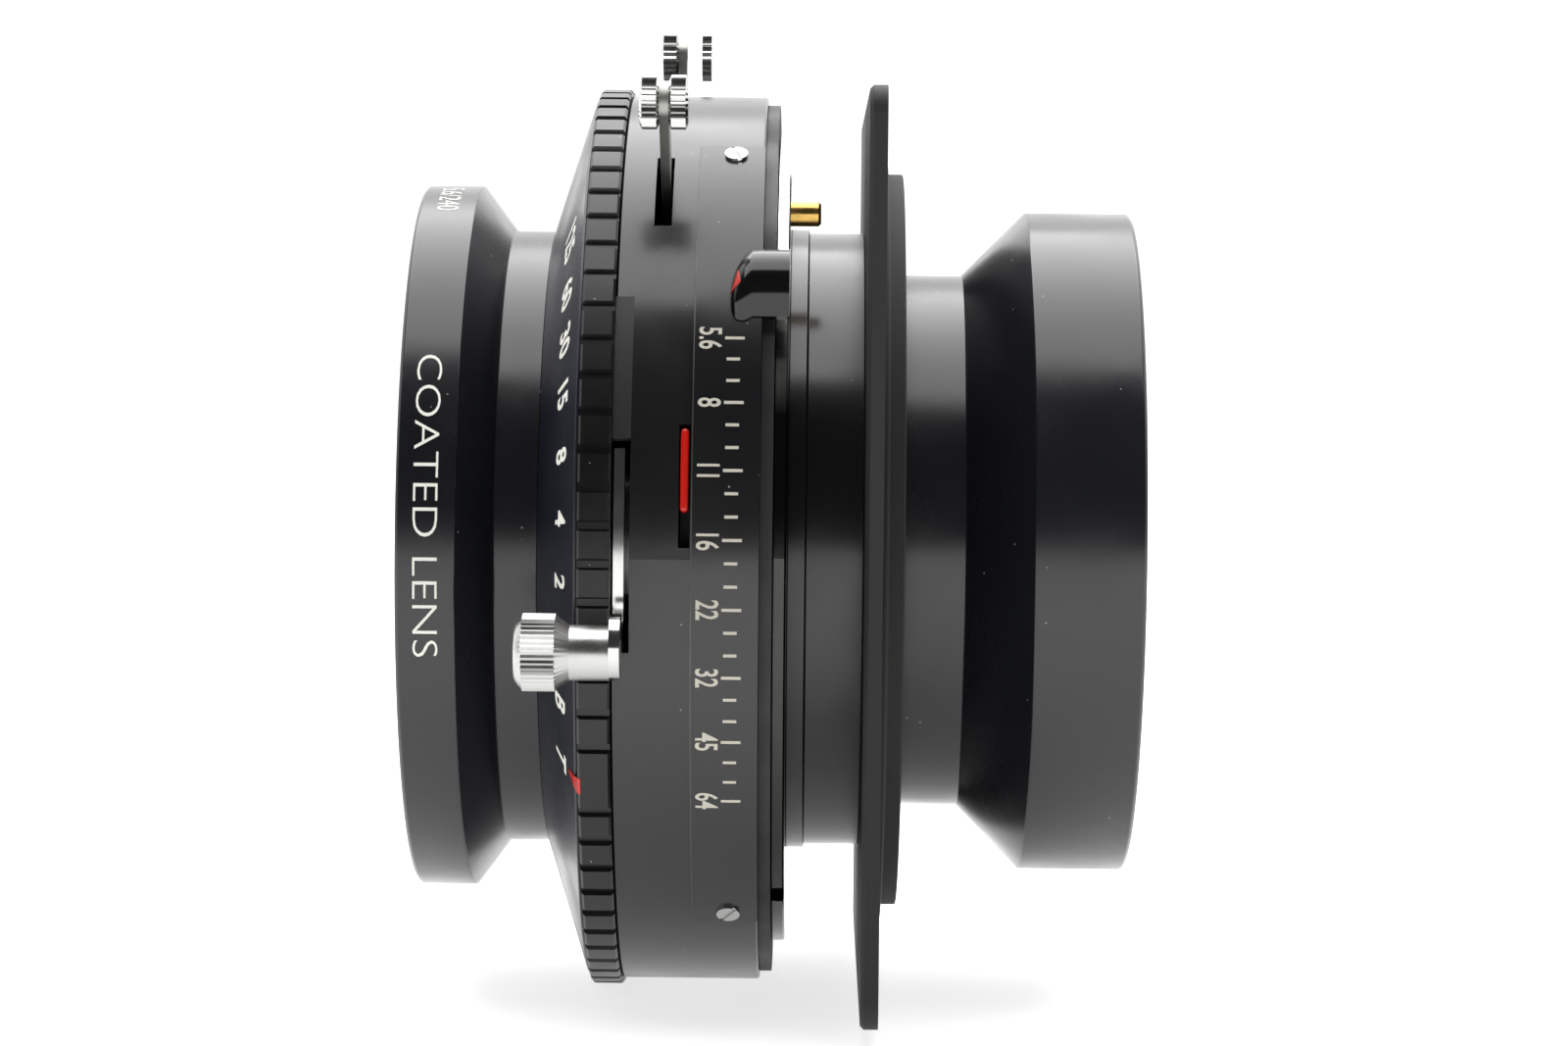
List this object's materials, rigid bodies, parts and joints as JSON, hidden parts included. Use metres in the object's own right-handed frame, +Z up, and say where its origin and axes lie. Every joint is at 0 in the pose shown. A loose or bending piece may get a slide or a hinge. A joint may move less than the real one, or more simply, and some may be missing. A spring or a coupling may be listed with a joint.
{
  "type": "view camera lens in leaf shutter",
  "caption": "Large-format lens in a leaf shutter on a square board, with glass cells front and back, turning speed and aperture rings, and cocking and release levers.",
  "frame": {"origin": "on the optical axis, in the back face of the lens board", "axes": "+X along the optical axis towards the film, +Z up the board, the aperture scale faces -Y"},
  "size_m": [0.0801, 0.1135, 0.1105],
  "materials": {
    "black_anodised": "satin black anodised",
    "ring_anodised": "satin black anodised, cut notches",
    "board_black": "fine sand-textured matte black",
    "trap_black": "matte black",
    "chromed_steel": "satin chrome",
    "steel_plate": "fine brushed",
    "spring_steel": "blued wire",
    "blade_steel": "matte dry-lubricant black",
    "brass": "turned",
    "gloss_black": "polished",
    "red_enamel": "red enamel",
    "black_plastic": "fine grained",
    "optical_glass": "coated and polished"
  },
  "bodies": {
    "body": {"aperture_scale": "black_anodised", "base_screws": "steel_plate", "blade_separator": "black_anodised", "cable_release_socket": "chromed_steel", "cocking_stop_block": "black_plastic", "flash_terminal_insulator": "black_plastic", "flash_terminal_pin": "brass", "flash_terminal_shell": "chromed_steel", "front_barrel": "black_anodised", "front_crown_glass": "optical_glass", "front_flint_glass": "optical_glass", "front_inner_glass": "optical_glass", "front_inner_retainer": "black_anodised", "front_lock_ring": "black_anodised", "front_plate": "black_anodised", "lens_board": "board_black", "lever_springs": "spring_steel", "lever_studs": "steel_plate", "light_trap_ring": "trap_black", "locating_pin": "brass", "mainspring": "spring_steel", "mechanism_base": "black_anodised", "mount_nut": "black_anodised", "mounting_spacer": "black_anodised", "name_ring": "black_anodised", "rear_barrel": "black_anodised", "rear_crown_glass": "optical_glass", "rear_flint_glass": "optical_glass", "rear_inner_glass": "optical_glass", "rear_inner_retainer": "black_anodised", "rear_plate": "chromed_steel", "rear_retaining_ring": "black_anodised", "scale_screws": "chromed_steel", "shutter_case": "black_anodised"},
    "speed_ring": {"speed_ring": "ring_anodised"},
    "aperture": {"aperture_ring": "black_anodised", "aperture_pointer": "gloss_black"},
    "cocking": {"cocking_lever": "steel_plate", "cocking_knob": "chromed_steel"},
    "release": {"release_lever": "steel_plate", "release_grip": "chromed_steel"},
    "focus": {"focus_lever": "steel_plate", "focus_grip": "chromed_steel"},
    "shutter_drive": {"shutter_drive_ring": "steel_plate", "focus_indicator": "red_enamel"},
    "iris_1": {"iris_blade_1": "blade_steel"},
    "iris_2": {"iris_blade_2": "blade_steel"},
    "iris_3": {"iris_blade_3": "blade_steel"},
    "iris_4": {"iris_blade_4": "blade_steel"},
    "iris_5": {"iris_blade_5": "blade_steel"},
    "iris_6": {"iris_blade_6": "blade_steel"},
    "iris_7": {"iris_blade_7": "blade_steel"},
    "shutter_1": {"shutter_blade_1": "blade_steel"},
    "shutter_2": {"shutter_blade_2": "blade_steel"},
    "shutter_3": {"shutter_blade_3": "blade_steel"},
    "shutter_4": {"shutter_blade_4": "blade_steel"},
    "shutter_5": {"shutter_blade_5": "blade_steel"}
  },
  "joints": [
    {"name": "speed_setting", "type": "hinge", "parent": "body", "child": "speed_ring", "pos_m": [-0.03181, 0, 0], "axis": [1, 0, 0], "range_deg": [-76.5, 0]},
    {"name": "aperture_setting", "type": "hinge", "parent": "body", "child": "aperture", "pos_m": [-0.0129, 0, 0], "axis": [1, 0, 0], "range_deg": [0, 64.65]},
    {"name": "shutter_cocking", "type": "hinge", "parent": "body", "child": "cocking", "pos_m": [-0.02811, 0, 0], "axis": [1, 0, 0], "range_deg": [-20, 0], "stiffness_Nm_per_rad": 0.05, "springref_deg": 20.05},
    {"name": "release_press", "type": "hinge", "parent": "body", "child": "release", "pos_m": [-0.02408, -0.01746, 0.03006], "axis": [1, 0, 0], "range_deg": [0, 18], "stiffness_Nm_per_rad": 0.01, "springref_deg": -17.19},
    {"name": "focus_open", "type": "hinge", "parent": "body", "child": "focus", "pos_m": [-0.02408, 0.01845, 0.02946], "axis": [1, 0, 0], "range_deg": [0, 18]},
    {"name": "shutter_drive_turn", "type": "hinge", "parent": "body", "child": "shutter_drive", "pos_m": [-0.02123, 0, 0], "axis": [1, 0, 0], "range_deg": [0, 4]},
    {"name": "iris_blade_1_turn", "type": "hinge", "parent": "body", "child": "iris_1", "pos_m": [-0.01557, 0, 0.038], "axis": [1, 0, 0], "range_deg": [0, 32.32]},
    {"name": "iris_blade_2_turn", "type": "hinge", "parent": "body", "child": "iris_2", "pos_m": [-0.01557, -0.02971, 0.02369], "axis": [1, 0, 0], "range_deg": [0, 32.32]},
    {"name": "iris_blade_3_turn", "type": "hinge", "parent": "body", "child": "iris_3", "pos_m": [-0.01557, -0.03705, -0.00846], "axis": [1, 0, 0], "range_deg": [0, 32.32]},
    {"name": "iris_blade_4_turn", "type": "hinge", "parent": "body", "child": "iris_4", "pos_m": [-0.01557, -0.01649, -0.03424], "axis": [1, 0, 0], "range_deg": [0, 32.32]},
    {"name": "iris_blade_5_turn", "type": "hinge", "parent": "body", "child": "iris_5", "pos_m": [-0.01557, 0.01649, -0.03424], "axis": [1, 0, 0], "range_deg": [0, 32.32]},
    {"name": "iris_blade_6_turn", "type": "hinge", "parent": "body", "child": "iris_6", "pos_m": [-0.01557, 0.03705, -0.00846], "axis": [1, 0, 0], "range_deg": [0, 32.32]},
    {"name": "iris_blade_7_turn", "type": "hinge", "parent": "body", "child": "iris_7", "pos_m": [-0.01557, 0.02971, 0.02369], "axis": [1, 0, 0], "range_deg": [0, 32.32]},
    {"name": "shutter_blade_1_turn", "type": "hinge", "parent": "body", "child": "shutter_1", "pos_m": [-0.02017, 0.02263, 0.03115], "axis": [1, 0, 0], "range_deg": [0, 37.11]},
    {"name": "shutter_blade_2_turn", "type": "hinge", "parent": "body", "child": "shutter_2", "pos_m": [-0.02017, -0.02263, 0.03115], "axis": [1, 0, 0], "range_deg": [0, 37.11]},
    {"name": "shutter_blade_3_turn", "type": "hinge", "parent": "body", "child": "shutter_3", "pos_m": [-0.02017, -0.03662, -0.0119], "axis": [1, 0, 0], "range_deg": [0, 37.11]},
    {"name": "shutter_blade_4_turn", "type": "hinge", "parent": "body", "child": "shutter_4", "pos_m": [-0.02017, 0, -0.0385], "axis": [1, 0, 0], "range_deg": [0, 37.11]},
    {"name": "shutter_blade_5_turn", "type": "hinge", "parent": "body", "child": "shutter_5", "pos_m": [-0.02017, 0.03662, -0.0119], "axis": [1, 0, 0], "range_deg": [0, 37.11]}
  ],
  "couplings": [
    {"joint": "shutter_drive_turn", "follows": "focus_open", "ratio": 0.22222},
    {"joint": "iris_blade_1_turn", "follows": "aperture_setting", "ratio": 0.49987},
    {"joint": "iris_blade_2_turn", "follows": "aperture_setting", "ratio": 0.49987},
    {"joint": "iris_blade_3_turn", "follows": "aperture_setting", "ratio": 0.49987},
    {"joint": "iris_blade_4_turn", "follows": "aperture_setting", "ratio": 0.49987},
    {"joint": "iris_blade_5_turn", "follows": "aperture_setting", "ratio": 0.49987},
    {"joint": "iris_blade_6_turn", "follows": "aperture_setting", "ratio": 0.49987},
    {"joint": "iris_blade_7_turn", "follows": "aperture_setting", "ratio": 0.49987},
    {"joint": "shutter_blade_1_turn", "follows": "focus_open", "ratio": 2.0614},
    {"joint": "shutter_blade_2_turn", "follows": "focus_open", "ratio": 2.0614},
    {"joint": "shutter_blade_3_turn", "follows": "focus_open", "ratio": 2.0614},
    {"joint": "shutter_blade_4_turn", "follows": "focus_open", "ratio": 2.0614},
    {"joint": "shutter_blade_5_turn", "follows": "focus_open", "ratio": 2.0614}
  ]
}
